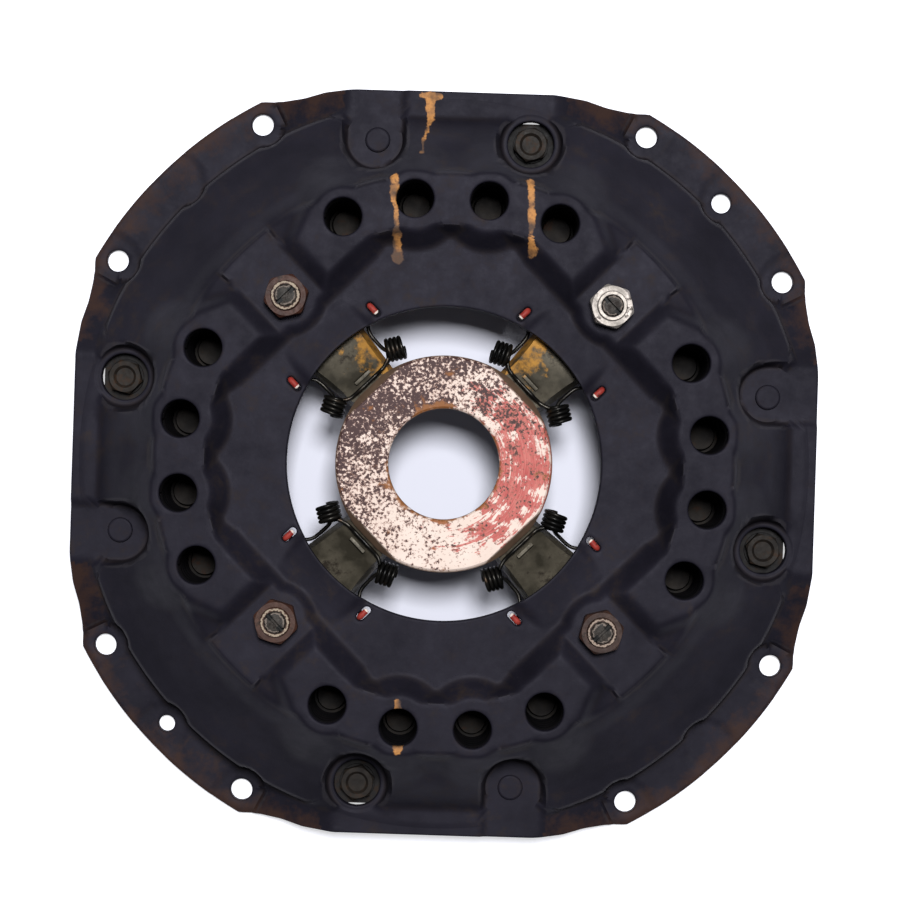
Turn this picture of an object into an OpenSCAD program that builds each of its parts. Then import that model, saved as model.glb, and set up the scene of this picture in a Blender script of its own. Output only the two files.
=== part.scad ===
// Coil-spring clutch pressure plate assembly: a pressed steel cover with four release levers,
// sixteen thrust springs and a cast pressure plate hung on four packs of drive straps.
// The mounting flange lies on z = 0 and the gearbox side faces +Z. Sizes are in millimetres.

/* [Cover outline] */
// Diameter of the circle through the cover bolt holes
bolt_circle_d = 393.7; // [380:1:410]
// Diameter over the four flange arcs
flange_d = 415; // [410:1:440]
// Width over the straight edges beside the bolt holes
ear_w = 364.4; // [358:1:370]
// Width over the raised side lands
land_w = 374.4; // [372:1:384]
// Thickness of the pressed sheet
sheet_t = 5; // [4:0.5:6]
// Diameter of the central opening
opening_d = 154.6; // [140:1:158]
// Diameter of the cover bolt holes
bolt_hole_d = 11; // [9:0.5:13]
// Diameter of the larger dowel hole
dowel_d = 10; // [8:0.5:12]
// Diameter of the smaller dowel hole
small_dowel_d = 8.3; // [6:0.1:10]

/* [Cover heights] */
// Top of the spring plateaus above the mounting face
plateau_z = 67; // [62:1:80]
// Drop from the plateaus to the lands under the adjusting nuts
nut_land_drop = 6; // [4:0.5:7]
// Drop from the plateaus to the inner ring
ring_drop = 11; // [9:0.5:13]
// Top of the side lands above the mounting face
side_land_z = 27; // [25:1:30]
// Step from the side lands down to the rivet pads
pad_step = 2; // [1:0.5:3]

/* [Thrust springs] */
// Radius of the circle through the spring axes
spring_circle_r = 130; // [129:0.5:133]
// Angle from the middle of a side to the inner pair of springs
spring_inner_deg = 8; // [7.8:0.1:8.5]
// Angle from the middle of a side to the outer pair of springs
spring_outer_deg = 24; // [23:0.1:24.5]
// Outside diameter of a thrust spring
spring_od = 25; // [20:0.5:25.5]
// Wire diameter of a thrust spring
spring_wire_d = 4; // [3:0.25:4.5]
// Turns in a thrust spring
spring_turns = 5.5; // [4:0.5:7]
// Diameter of the hole in the cover over each spring
spring_hole_d = 18.5; // [14:0.5:20]

/* [Pressure plate] */
// Outside diameter of the pressure plate
plate_d = 352; // [345:1:357]
// Bore of the pressure plate
plate_bore_d = 200; // [190:1:205]
// Height of the friction face above the mounting face, clutch engaged
friction_z = 3; // [2:0.5:6]
// Distance that the pressure plate lifts off the disc
lift = 2.5; // [1.5:0.1:3]

/* [Release levers] */
// Radius from the clutch axis to the lever fulcrum pins
fulcrum_r = 112; // [110:0.5:114]
// Height of the fulcrum pins above the mounting face
fulcrum_z = 35; // [34:0.5:37]
// Distance from the fulcrum pin to the strut
outer_arm = 13.5; // [12.5:0.25:14]
// Diameter of the fulcrum pin
pin_d = 10; // [8:0.5:11]
// Width of a lever at the cover opening
lever_w = 33.6; // [30:0.2:36]
// Width of a lever at its tip
lever_tip_w = 27.6; // [24:0.2:30]
// Radius at which the lever tips meet the release plate
tip_r = 50.5; // [49:0.5:52]
// Thread diameter of the eyebolts
eyebolt_d = 11; // [9:0.5:12]
// Width across the flats of the adjusting nuts
nut_af = 19.5; // [17:0.5:20]

/* [Release plate] */
// Outside diameter of the release plate
release_d = 106; // [100:1:110]
// Bore of the release plate
release_bore_d = 54.2; // [46:0.2:60]
// Thickness of the release plate
release_t = 6; // [5:0.5:8]
// Distance across the flats over the levers
release_flat_w = 97.6; // [94:0.2:100]

/* [Drive straps] */
// Radius from the clutch axis to the strap rivets and bolts
strap_r = 166.4; // [164:0.1:168]
// Angle from the middle of a side to a strap rivet or bolt
strap_deg = 13.4; // [13:0.1:14.5]
// Width of a strap leaf
strap_w = 22; // [16:0.5:22]
// Thickness of one strap leaf
leaf_t = 1; // [0.6:0.1:1.2]
// Leaves in a strap pack
leaves = 3; // [2:1:4]
// Width across the flats of the strap bolts
strap_bolt_af = 15.5; // [14:0.5:18]
// Diameter of the access hole over a strap bolt
access_d = 23.3; // [22:0.1:25]

/* [Hidden] */
$fn = 96;

// Clearances
fit = 0.08;         // pins and shanks in their holes, on the radius
seat_gap = 0.25;    // pieces that press on each other, at rest
run_gap = 0.5;      // moving pieces that pass each other
leaf_gap = 0.04;    // leaves of one strap pack

// Far above, below and outside the part, for cutting shapes
far = 240;
sky = 100;

// Levels of the cover's outer face
nut_land_z = plateau_z - nut_land_drop;
ring_z = plateau_z - ring_drop;
pad_z = side_land_z - pad_step;

// Height by which raised forms pass the level that trims them
crown = 3;

// Section of the dome's outer face as [radius, height], from below the flange to the central ring
foot_r = 187;
foot_slope = 7;
wall_foot_r = 144.4;
wall_foot_z = plateau_z - 9;
outer_wall_slope = 3.3;
ring_foot_r = 111.8;
inner_wall_slope = 2.3;
dome_rows = [
    [foot_r + (sheet_t + 10) / foot_slope, -10],
    [foot_r - (side_land_z - 1 - sheet_t) / foot_slope, side_land_z - 1],
    [153, plateau_z - 17.5],
    [wall_foot_r + 1.6, wall_foot_z - 0.8],
    [wall_foot_r, wall_foot_z],
    [wall_foot_r - (plateau_z + crown - wall_foot_z) / outer_wall_slope, plateau_z + crown],
    [ring_foot_r + (ring_drop + crown) / inner_wall_slope, plateau_z + crown],
    [ring_foot_r, ring_z],
    [0, ring_z]];

// Spring bosses
boss_r = spring_od / 2 + 2.5;
boss_slope = 0.75;
boss_circle_r = spring_circle_r - 0.8;
spring_degs = [-spring_outer_deg, -spring_inner_deg, spring_inner_deg, spring_outer_deg];

// Coined flats round the bolt and dowel holes
coin_depth = 0.6;
bolt_flat_r = 11.8;
dowel_flat_r = 12.2;

// Lands under the adjusting nuts
nut_land_half = 14.7;
nut_wall_slope = 1.17;
nut_boss_slope = 0.93;
corner_drop = 7.5;
block_edge_r = 106;
block_slope = 0.86;

// Side lands
land_flat_half = 50;
land_foot_half = 93;
land_back_r = 173.5;
land_back_top_r = 150;
land_back_slope = (plateau_z - 10 - side_land_z) / (land_back_r - land_back_top_r);
pad_r = 14.7;
pad_deg = strap_deg + 0.5;
access_step = 0.3;
access_pocket_r = 15;
pocket_draft = 0.12;

// Slots for the ends of the retaining springs
slot_r = 79;
slot_half = 26.6;
slot_l = 8.4;
slot_w = 3.8;

// Drive straps lie under the rivet pads, and their bolt ends on seats of the pressure plate
strap_top_z = pad_z - sheet_t;
pack_t = leaves * leaf_t;
strap_z = strap_top_z - pack_t;
strap_end = 11.5;
strap_crop = 5.5;
strap_washer_t = 1.2;
strap_bolt_shank_r = 5;
strap_rivet_r = 4.5;

// Pressure plate
rim_top_z = strap_top_z - lift - 2 * run_gap;
spring_seat_z = rim_top_z + 4;
seat_outer_r = spring_circle_r + spring_od / 2 + 1.5;
seat_inner_r = spring_circle_r - spring_od / 2 - 6;
friction_inner_r = 107;
lug_window_half = lever_w / 2 + run_gap;
lug_half = lug_window_half + 5.7;
lug_window_z = fulcrum_z + 9.5;
lug_top_z = plateau_z - corner_drop - sheet_t - lift - run_gap - 0.3;
strut_r = fulcrum_r + outer_arm * cos(asin(lift / 2 / outer_arm));
strut_low_z = fulcrum_z - lift / 2;
strut_top_z = lug_window_z + 1;
strut_t = 4;
strut_half = 11;

// Release levers
tip_nose_r = 4.5;
tip_z = 52.5;
fork_r = pin_d / 2 + 4.5;
fork_half = eyebolt_d / 2 + run_gap;
eye_r = pin_d / 2 + 3.2;
bar_reach = 17.5;

// Release plate, resting on the lever tips
release_z = tip_z + tip_nose_r + seat_gap;

// Retaining spring wire
clip_wire_r = 1;
clip_coil_r = 5.1;
clip_turns = 4 + 1 / 3;
clip_splay = 30;

function unit(v) = v / norm(v);
function polar(r, a) = [r * cos(a), r * sin(a)];

// Places the children at the diagonal of lever k, with +X outwards
module at_lever(k) rotate([0, 0, 45 + 90 * (k - 1)]) children();

// Places the children at side k, with +X outwards
module at_side(k) rotate([0, 0, 90 * (k - 1)]) children();

// A prism along the tangential direction, from a section drawn as [radius, height]
module across(half) translate([0, half, 0]) rotate([90, 0, 0]) linear_extrude(2 * half) children();

// A prism along the radial direction, from a section drawn as [sideways, height]
module along(r0, r1) translate([r0, 0, 0]) rotate([90, 0, 90]) linear_extrude(r1 - r0) children();

// A round wire along a list of points, as one closed tube
module wire(path, r, sides = 6) {
    n = len(path);
    dirs = [for (i = [0:n - 1]) unit(path[min(i + 1, n - 1)] - path[max(i - 1, 0)])];
    first = unit(cross(dirs[0], abs(dirs[0].z) < 0.9 ? [0, 0, 1] : [1, 0, 0]));
    normals = [for (i = 0, v = first; i < n;
        v = i < n - 1 ? unit(v - (v * dirs[i + 1]) * dirs[i + 1]) : v, i = i + 1) v];
    points = [for (i = [0:n - 1], j = [0:sides - 1])
        let (a = 360 * j / sides)
        path[i] + r * (cos(a) * normals[i] + sin(a) * cross(dirs[i], normals[i]))];
    skin = [for (i = [0:n - 2], j = [0:sides - 1])
        let (a = i * sides + j, b = i * sides + (j + 1) % sides)
        each [[a, b, b + sides], [a, b + sides, a + sides]]];
    first_cap = [for (j = [sides - 1:-1:0]) j];
    last_cap = [for (j = [0:sides - 1]) (n - 1) * sides + j];
    polyhedron(points, concat([first_cap], skin, [last_cap]));
}

// Outline of the cover, seen from above. A side's edge runs from the corner to the middle.
side_edge = [[ear_w / 2, land_foot_half - 5], [ear_w / 2 + 1.2, land_foot_half - 16],
             [land_w / 2 - 1.2, land_flat_half + 16], [land_w / 2, land_flat_half]];

module cover_outline() {
    intersection() {
        circle(d = flange_d, $fn = 180);
        union() {
            square(ear_w, center = true);
            for (k = [1:4]) rotate(90 * (k - 1))
                polygon(concat([[100, 5 - land_foot_half]], [for (p = side_edge) [p.x, -p.y]],
                               [for (i = [3:-1:0]) side_edge[i]], [[100, land_foot_half - 5]]));
        }
    }
}

// Outward normal of the section line from a to b, and corner b of the line a, b, c moved
// inwards so that both lines keep the same distance
function section_normal(a, b) = unit([b.y - a.y, a.x - b.x]);
function inner_corner(a, b, c, in) =
    let (m = section_normal(a, b), n = section_normal(b, c)) b - in * (m + n) / (1 + m * n);

// Solid of revolution under the dome; in is 0 for the outer face and the sheet thickness
// for the inner one
module dome(in) {
    n = len(dome_rows);
    first = dome_rows[0] - in * section_normal(dome_rows[0], dome_rows[1]);
    middle = [for (i = [1:n - 2]) inner_corner(dome_rows[i - 1], dome_rows[i], dome_rows[i + 1], in)];
    rotate_extrude($fn = 180)
        polygon(concat([[0, first.y], first], middle, [[0, ring_z - in]]));
}

// Raised cone round one thrust spring
module spring_boss(in) {
    low = ring_z - 6 - in;
    top = plateau_z - in;
    r = boss_r - 0.16 * in;
    translate([boss_circle_r, 0, low])
        cylinder(r1 = r + boss_slope * (top - low), r2 = r - boss_slope * crown, h = top + crown - low);
}

// Straight inner edge of the plateaus beside a lever
module plateau_block(in) {
    edge = block_edge_r + 0.7 * in;
    low = ring_z - 6 - in;
    top = plateau_z - in;
    across(46)
        polygon([[edge - block_slope * (top - low), low], [edge + block_slope * crown, top + crown],
                 [126, top + crown], [126, low]]);
}

// Valley between two plateaus, whose floor is the land under the adjusting nut
module nut_valley(in) {
    floor_z = nut_land_z - in;
    half = nut_land_half + 0.75 * in;
    top_half = half + nut_wall_slope * (sky - floor_z);
    along(85, 175) polygon([[-half, floor_z], [half, floor_z], [top_half, sky], [-top_half, sky]]);
    for (side = [0, 1]) mirror([0, side, 0])
        translate([130.5, 24, 0]) rotate([0, 0, -22.2]) translate([0, 12, 0]) across(22)
            polygon([[-0.75 * in - 0.72 * (sky - plateau_z), sky - in],
                     [-0.75 * in, plateau_z - in],
                     [5.4 - 0.75 * in, plateau_z - corner_drop - in],
                     [45, plateau_z - corner_drop - in], [45, sky - in]]);
}

// Round inner end of the land under the adjusting nut
module nut_boss(in) {
    low = ring_z - 6 - in;
    top = nut_land_z - in;
    r = nut_land_half - 0.3 * in;
    translate([fulcrum_r, 0, low])
        cylinder(r1 = r + nut_boss_slope * (top - low), r2 = r - nut_boss_slope * crown,
                 h = top + crown - low);
}

// Ramp that lifts the inner ring over a lever
module lever_ramp(in) {
    half = lever_w / 2 + 5.5 - 0.5 * in;
    across(half) polygon([[60, ring_z - 6 - in], [60, ring_z + 5.4 - in], [76, ring_z + 3.2 - in],
                          [93, ring_z - 0.2 - in], [93, ring_z - 6 - in]]);
}

// Raised body of one side land, running out to the rim
module side_land(in) {
    top = side_land_z - in;
    foot = land_foot_half - 1.4 * in;
    flat = land_flat_half - 0.4 * in;
    low = min(sheet_t, sheet_t - 2 * in);
    along(110, in > 0 ? far : land_w / 2 + 1)
        polygon([[-foot, low], [-flat, top], [flat, top], [foot, low]]);
}

// Cuts that level a side land, its rivet pad and its access pocket into the dome
module side_cuts(in) {
    back = land_back_r - 0.8 * in;
    top = plateau_z - 8.8 - in;
    floor_z = side_land_z - in;
    across(48) polygon([[back, floor_z], [back - (top - floor_z) / land_back_slope, top],
                        [far, top], [far, floor_z]]);
    height = plateau_z - 6 - side_land_z;
    rotate([0, 0, -strap_deg]) translate([strap_r, 0, floor_z - access_step])
        cylinder(r1 = access_pocket_r + 0.75 * in, h = height + access_step,
                 r2 = access_pocket_r + 0.75 * in + pocket_draft * (height + access_step));
    pad_centre = polar(strap_r, pad_deg);
    translate([pad_centre.x, pad_centre.y, pad_z - in])
        cylinder(r1 = pad_r + 0.75 * in, h = height + pad_step,
                 r2 = pad_r + 0.75 * in + pocket_draft * (height + pad_step));
    half = pad_r - 0.9 + 0.75 * in;
    translate([pad_centre.x + 3, pad_centre.y - half, pad_z - in]) cube([far, 2 * half, 12]);
}

// The pressed form as a solid, to its outer face or to its inner one
module pressed_form(in) {
    difference() {
        union() {
            dome(in);
            for (k = [1:4]) at_side(k) {
                side_land(in);
                for (a = spring_degs) rotate([0, 0, a]) spring_boss(in);
            }
            for (k = [1:4]) at_lever(k) {
                plateau_block(in);
                nut_boss(in);
                lever_ramp(in);
            }
        }
        translate([-far, -far, plateau_z - in]) cube([2 * far, 2 * far, sky]);
        for (k = [1:4]) at_lever(k) nut_valley(in);
        for (k = [1:4]) at_side(k) side_cuts(in);
    }
}

// Chamfer at the foot of the dome wall
module foot_chamfer() {
    rotate_extrude($fn = 180)
        polygon([[foot_r - 4, sheet_t - 1], [foot_r + 5.6, sheet_t - 1],
                 [foot_r - 1.4, sheet_t + 5.4], [foot_r - 4, sheet_t + 5.4]]);
}

// Flat coined into the flange round a bolt or dowel hole, open to the rim
module coined_flat(r) {
    translate([bolt_circle_d / 2, 0, sheet_t - coin_depth]) {
        cylinder(r = r, h = 9);
        translate([0, -r + 0.4, 0]) cube([40, 2 * r - 0.8, 9]);
    }
}

// Holes through the cover
module cover_holes() {
    translate([0, 0, -1]) cylinder(d = opening_d, h = sky, $fn = 180);
    for (k = [1:4]) at_side(k) {
        for (a = [-30, 30]) rotate([0, 0, a]) translate([bolt_circle_d / 2, 0, -1])
            cylinder(d = bolt_hole_d, h = sheet_t + 10);
        for (a = spring_degs) rotate([0, 0, a]) translate([spring_circle_r, 0, ring_z])
            cylinder(d = spring_hole_d, h = sky);
        rotate([0, 0, -strap_deg]) translate([strap_r, 0, 10]) cylinder(d = access_d, h = sky);
        rotate([0, 0, strap_deg]) translate([strap_r, 0, 10])
            cylinder(r = strap_rivet_r + fit / 2, h = sky);
    }
    for (k = [1:4]) at_lever(k) {
        translate([fulcrum_r, 0, ring_z - 10]) cylinder(r = eyebolt_d / 2 + 2 * fit, h = sky);
        for (s = [-1, 1]) translate([slot_r, s * slot_half, ring_z - 20]) linear_extrude(sky) {
            square([slot_l - slot_w, slot_w], center = true);
            for (e = [-1, 1]) translate([e * (slot_l - slot_w) / 2, 0]) circle(d = slot_w);
        }
    }
    at_lever(1) translate([bolt_circle_d / 2 - 2, 0, -1]) cylinder(d = dowel_d, h = sheet_t + 10);
    at_lever(3) translate([bolt_circle_d / 2 - 2, 0, -1]) cylinder(d = small_dowel_d, h = sheet_t + 10);
}

module cover() {
    color("#2b2c30") difference() {
        intersection() {
            union() {
                cylinder(d = flange_d + 2, h = sheet_t, $fn = 180);
                foot_chamfer();
                pressed_form(0);
            }
            linear_extrude(sky) cover_outline();
        }
        pressed_form(sheet_t);
        for (k = [1:4]) {
            at_side(k) for (a = [-30, 30]) rotate([0, 0, a]) coined_flat(bolt_flat_r);
            at_lever(k) coined_flat(dowel_flat_r);
        }
        cover_holes();
    }
}

// Channel in the rim of the pressure plate under a drive strap and its rivet
module strap_channel() {
    floor_z = strap_z - 4 - lift - run_gap;
    rivet = polar(strap_r, strap_deg);
    bolt = polar(strap_r, -strap_deg);
    half = strap_w / 2 + 2;
    translate([0, 0, floor_z]) linear_extrude(sky) difference() {
        union() {
            translate(rivet) circle(r = half + 1);
            translate([rivet.x - half, bolt.y]) square([2 * half, rivet.y - bolt.y]);
            translate([rivet.x, -14]) square([40, rivet.y + 14]);
        }
        translate(bolt) circle(r = half);
    }
}

// Bridge over the outer end of a lever, which the strut pushes up
module lever_lug() {
    outer = strut_r + 8.5;
    inner = strut_r - 6;
    intersection() {
        difference() {
            along(inner, outer)
                polygon([[-lug_half - 3, friction_z + 5], [-lug_half, lug_window_z - 2],
                         [-lug_half + 5, lug_top_z], [lug_half - 5, lug_top_z],
                         [lug_half, lug_window_z - 2], [lug_half + 3, friction_z + 5]]);
            along(inner - 1, outer + 1)
                polygon([[-lug_window_half, spring_seat_z - 2], [-lug_window_half, lug_window_z - 3],
                         [-lug_window_half + 3, lug_window_z], [lug_window_half - 3, lug_window_z],
                         [lug_window_half, lug_window_z - 3], [lug_window_half, spring_seat_z - 2]]);
        }
        across(lug_half + 4)
            polygon([[inner - 1, 0], [inner, spring_seat_z + 8], [inner, sky],
                     [outer - 2.5, sky], [outer - 2.5, lug_top_z - 2], [outer, rim_top_z], [outer, 0]]);
    }
}

module pressure_plate() {
    color("#6d6a66") difference() {
        union() {
            rotate_extrude($fn = 180) polygon([
                [plate_bore_d / 2, friction_z + 3], [friction_inner_r - 2, friction_z + 3],
                [friction_inner_r, friction_z], [plate_d / 2, friction_z],
                [plate_d / 2, rim_top_z - 2], [plate_d / 2 - 2, rim_top_z],
                [seat_outer_r + 3.5, rim_top_z], [seat_outer_r, spring_seat_z],
                [seat_inner_r, spring_seat_z], [seat_inner_r - 5, rim_top_z],
                [plate_bore_d / 2 + 1.5, rim_top_z],
                [plate_bore_d / 2, rim_top_z - 1.5]]);
            for (k = [1:4]) {
                at_side(k) for (a = spring_degs) rotate([0, 0, a])
                    translate([spring_circle_r, 0, spring_seat_z - 1])
                        cylinder(r1 = spring_od / 2 - spring_wire_d - 0.6, h = 5,
                                 r2 = spring_od / 2 - spring_wire_d - 1.8);
                at_side(k) intersection() {
                    rotate([0, 0, -strap_deg]) translate([strap_r, 0, friction_z + 2])
                        cylinder(r = strap_w / 2 + 2.8, h = strap_z - friction_z - 1);
                    cylinder(d = plate_d - 1, h = sky, $fn = 180);
                }
                at_lever(k) lever_lug();
            }
        }
        for (k = [1:4]) {
            at_side(k) {
                strap_channel();
                rotate([0, 0, -strap_deg]) translate([strap_r, 0, 0]) {
                    translate([0, 0, strap_z]) cylinder(r = strap_w / 2 + 3.2, h = sky);
                    translate([0, 0, friction_z + 2])
                        cylinder(r = strap_bolt_shank_r + fit / 2, h = sky);
                }
            }
            at_lever(k) across(strut_half + run_gap)
                translate([strut_r - strut_t / 2 - 0.2, lug_window_z - 1])
                    square([strut_t + 0.4, strut_top_z + 1.15 - lug_window_z]);
        }
    }
}

module release_plate() {
    top = release_z + release_t;
    color("#c9bdb9") difference() {
        rotate_extrude($fn = 180) polygon([
            [release_bore_d / 2, release_z + 1], [release_bore_d / 2 + 1, release_z],
            [release_d / 2 - 1, release_z], [release_d / 2, release_z + 1],
            [release_d / 2, top - 1.5], [release_d / 2 - 1.5, top],
            [release_bore_d / 2 + 1, top], [release_bore_d / 2, top - 1]]);
        for (k = [1:4]) at_lever(k) across(30)
            polygon([[release_flat_w / 2, top + 1], [release_flat_w / 2, top - 0.6],
                     [release_d / 2 - 0.6, release_z + 1.2], [release_d / 2 - 0.6, release_z - 1],
                     [release_d, release_z - 1], [release_d, top + 1]]);
    }
}

// Block that planes off one forged flank of a lever, from the tip to the cover's opening
module lever_flank() {
    spread = atan((lever_w - lever_tip_w) / (opening_d - 2 * tip_r));
    translate([63, lever_tip_w / 2 - 1.4, tip_z + 0.5]) rotate([0, 18, spread]) rotate([-69, 0, 0])
        translate([-25, 0, 0]) cube([57, 30, 30]);
}

module release_lever(k) {
    arm = [[tip_r, tip_z + tip_nose_r], [tip_r + 3, tip_z + tip_nose_r - 0.6],
           [63, tip_z + 0.4], [79, fulcrum_z + 13], [98, fulcrum_z + 10.5],
           [fulcrum_r - 3, fulcrum_z + fork_r - 0.4], [fulcrum_r + 4, fulcrum_z + fork_r - 1.3],
           [fulcrum_r + 9.5, fulcrum_z + 2.4], [fulcrum_r + bar_reach - 1, fulcrum_z + 2.4],
           [fulcrum_r + bar_reach, fulcrum_z + 1.4], [fulcrum_r + bar_reach, fulcrum_z - 4.5],
           [fulcrum_r + bar_reach - 3, fulcrum_z - 7], [fulcrum_r + 3, fulcrum_z - fork_r + 0.4],
           [fulcrum_r - 5, fulcrum_z - fork_r + 0.9], [94, fulcrum_z - 3.5],
           [76, fulcrum_z + 4.2], [59, tip_z - 6.5], [tip_r + 1, tip_z - tip_nose_r + 0.4]];
    color("#4a4538") at_lever(k) difference() {
        intersection() {
            union() {
                across(lever_w / 2) {
                    difference() {
                        polygon(arm);
                        translate([strut_r, strut_low_z])
                            polygon([[-1.6, 0], [1.6, 0], [4.6, 4.5], [-4.6, 4.5]]);
                    }
                    translate([tip_r, tip_z]) circle(r = tip_nose_r);
                    translate([fulcrum_r, fulcrum_z]) circle(r = fork_r);
                }
                across(4.8)
                    polygon([[57.3, tip_z], [57.3, tip_z + 4.6], [58.9, tip_z + 4.6], [60, tip_z]]);
            }
            linear_extrude(sky) polygon([
                [tip_r - tip_nose_r - 1, -lever_tip_w / 2 + 5], [tip_r, -lever_tip_w / 2],
                [opening_d / 2, -lever_w / 2], [fulcrum_r + 4, -lever_w / 2],
                [fulcrum_r + bar_reach + 1, -lever_w / 2 + 2.5],
                [fulcrum_r + bar_reach + 1, lever_w / 2 - 2.5],
                [fulcrum_r + 4, lever_w / 2], [opening_d / 2, lever_w / 2],
                [tip_r, lever_tip_w / 2], [tip_r - tip_nose_r - 1, lever_tip_w / 2 - 5]]);
        }
        for (side = [0, 1]) mirror([0, side, 0]) lever_flank();
        // slot for the eyebolt, open below and above
        translate([fulcrum_r - eye_r - 3.8, -fork_half, 0])
            cube([2 * eye_r + 3.8 + run_gap, 2 * fork_half, sky]);
        translate([fulcrum_r, 0, fulcrum_z]) rotate([90, 0, 0])
            cylinder(r = pin_d / 2 + fit, h = lever_w + 2, center = true);
    }
}

module lever_pin(k) {
    color("#8a8782") at_lever(k) translate([fulcrum_r, 0, fulcrum_z]) rotate([90, 0, 0])
        cylinder(d = pin_d, h = lever_w - 1.6, center = true);
}

module eyebolt(k) {
    top = nut_land_z + 12.6;
    color("#8f8a84") at_lever(k) translate([fulcrum_r, 0, 0]) difference() {
        union() {
            translate([0, 0, fulcrum_z]) rotate([90, 0, 0])
                cylinder(r = eye_r, h = 2 * (fork_half - run_gap), center = true);
            translate([0, 0, fulcrum_z]) cylinder(d = eyebolt_d, h = top - fulcrum_z - 1);
            translate([0, 0, top - 1]) cylinder(d1 = eyebolt_d, d2 = eyebolt_d - 2, h = 1);
        }
        translate([0, 0, fulcrum_z]) rotate([90, 0, 0])
            cylinder(r = pin_d / 2 + fit / 2, h = 2 * fork_half + 2, center = true);
        translate([0, 0, top]) cube([1.6, eyebolt_d + 2, 5], center = true);
    }
}

module adjusting_nut(k) {
    h = 9.6;
    color("#9c7b5c") at_lever(k) translate([fulcrum_r, 0, nut_land_z]) difference() {
        union() {
            intersection() {
                cylinder(d = nut_af / cos(30), h = h, $fn = 6);
                cylinder(d1 = nut_af + 14, d2 = nut_af, h = h);
                cylinder(d = nut_af * 1.12, h = h);
            }
            translate([0, 0, h - 1])
                cylinder(r1 = eyebolt_d / 2 + 2.2, r2 = eyebolt_d / 2 + 1.4, h = 3.2);
        }
        translate([0, 0, -1]) cylinder(r = eyebolt_d / 2 + fit / 2, h = 20);
    }
}

module strut(k) {
    low = strut_low_z + seat_gap;
    half = strut_t / 2;
    color("#77736c") at_lever(k) across(strut_half)
        polygon([[strut_r - 0.5, low], [strut_r + 0.5, low], [strut_r + half, low + 2.4],
                 [strut_r + half, strut_top_z], [strut_r - half, strut_top_z],
                 [strut_r - half, low + 2.4]]);
}

// One half of a retaining spring: the end lying in its slot, the leg along the lever's foot and
// under the coil, the coil, and half of the bar. One coil sits nearer to the lever than the other.
function clip_half(side) =
    let (bar_r = release_d / 2 + clip_wire_r + 0.4, bar_z = tip_z + 4.7, seg = 8,
         n = round(clip_turns * seg), beside = lever_tip_w / 2 + clip_wire_r + run_gap,
         axis = [-sin(clip_splay), cos(clip_splay), 0], out = [cos(clip_splay), sin(clip_splay), 0],
         mid = [57.6, lever_tip_w / 2 + 6.7 - 1.3 * side, tip_z + 3.1],
         len_coil = clip_turns * (2 * clip_wire_r + 0.1),
         coil = [for (i = [0:n])
             let (a = 270 - 360 * clip_turns * i / n)
             mid + axis * len_coil * (0.5 - i / n)
                 + clip_coil_r * (cos(a) * out + sin(a) * [0, 0, 1])])
    [for (p = concat(
        [[slot_r - 2.6, slot_half, ring_z - 1.4], [slot_r + 1.6, slot_half, ring_z - 1.4],
         [slot_r + 2.9, slot_half, ring_z - 2.4], [slot_r + 3, slot_half, ring_z - 4.5],
         [slot_r + 1.8, slot_half - 0.8, ring_z - 8.2], [slot_r - 1, slot_half - 4, ring_z - 10.4],
         [slot_r - 6, beside + 2.6, ring_z - 11.4], [slot_r - 13, beside + 1.9, ring_z - 11],
         [slot_r - 18, beside + 2.4, ring_z - 9.8], [slot_r - 21.5, beside + 4.6, ring_z - 8.6]],
        coil,
        [[bar_r + 0.3, lever_tip_w / 2 - 2.6, bar_z + 0.2], [bar_r, 9, bar_z]])) [p.x, side * p.y, p.z]];

module retaining_spring(k) {
    left = clip_half(1);
    right = clip_half(-1);
    color("#3a3a38") at_lever(k)
        wire(concat(left, [for (i = [len(right) - 1:-1:0]) right[i]]), clip_wire_r, 5);
}

// Plan of a strap leaf: a bar with cropped corners and two holes
module strap_plan() {
    rivet = polar(strap_r, strap_deg);
    bolt = polar(strap_r, -strap_deg);
    reach = rivet.y + strap_end;
    difference() {
        translate([rivet.x, 0]) for (side = [0, 1]) mirror([0, side])
            polygon([[-strap_w / 2, -1], [strap_w / 2, -1], [strap_w / 2, reach - strap_crop],
                     [strap_w / 2 - strap_crop, reach], [strap_crop - strap_w / 2, reach],
                     [-strap_w / 2, reach - strap_crop]]);
        translate(rivet) circle(r = strap_rivet_r + fit);
        translate(bolt) circle(r = strap_bolt_shank_r + fit);
    }
}

module drive_straps(k) {
    color("#55565a") at_side(k) for (i = [0:leaves - 1])
        translate([0, 0, strap_z + i * leaf_t]) linear_extrude(leaf_t - leaf_gap) strap_plan();
}

module strap_rivets() {
    color("#3c3d41") for (k = [1:4]) at_side(k) rotate([0, 0, strap_deg])
        translate([strap_r, 0, 0]) rotate_extrude()
            polygon([[0, strap_z - 3.4], [6.2, strap_z - 3.4], [7.4, strap_z - 2.2], [7.4, strap_z],
                     [strap_rivet_r, strap_z], [strap_rivet_r, pad_z],
                     [6.3, pad_z], [6.3, pad_z + 1.2], [5.6, pad_z + 1.8], [0, pad_z + 1.8]]);
}

module strap_washers() {
    color("#7a756c") for (k = [1:4]) at_side(k) rotate([0, 0, -strap_deg])
        translate([strap_r, 0, strap_top_z]) difference() {
            cylinder(d = strap_bolt_af + 2.4, h = strap_washer_t);
            translate([0, 0, -1]) cylinder(r = strap_bolt_shank_r + fit, h = 5);
        }
}

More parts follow.
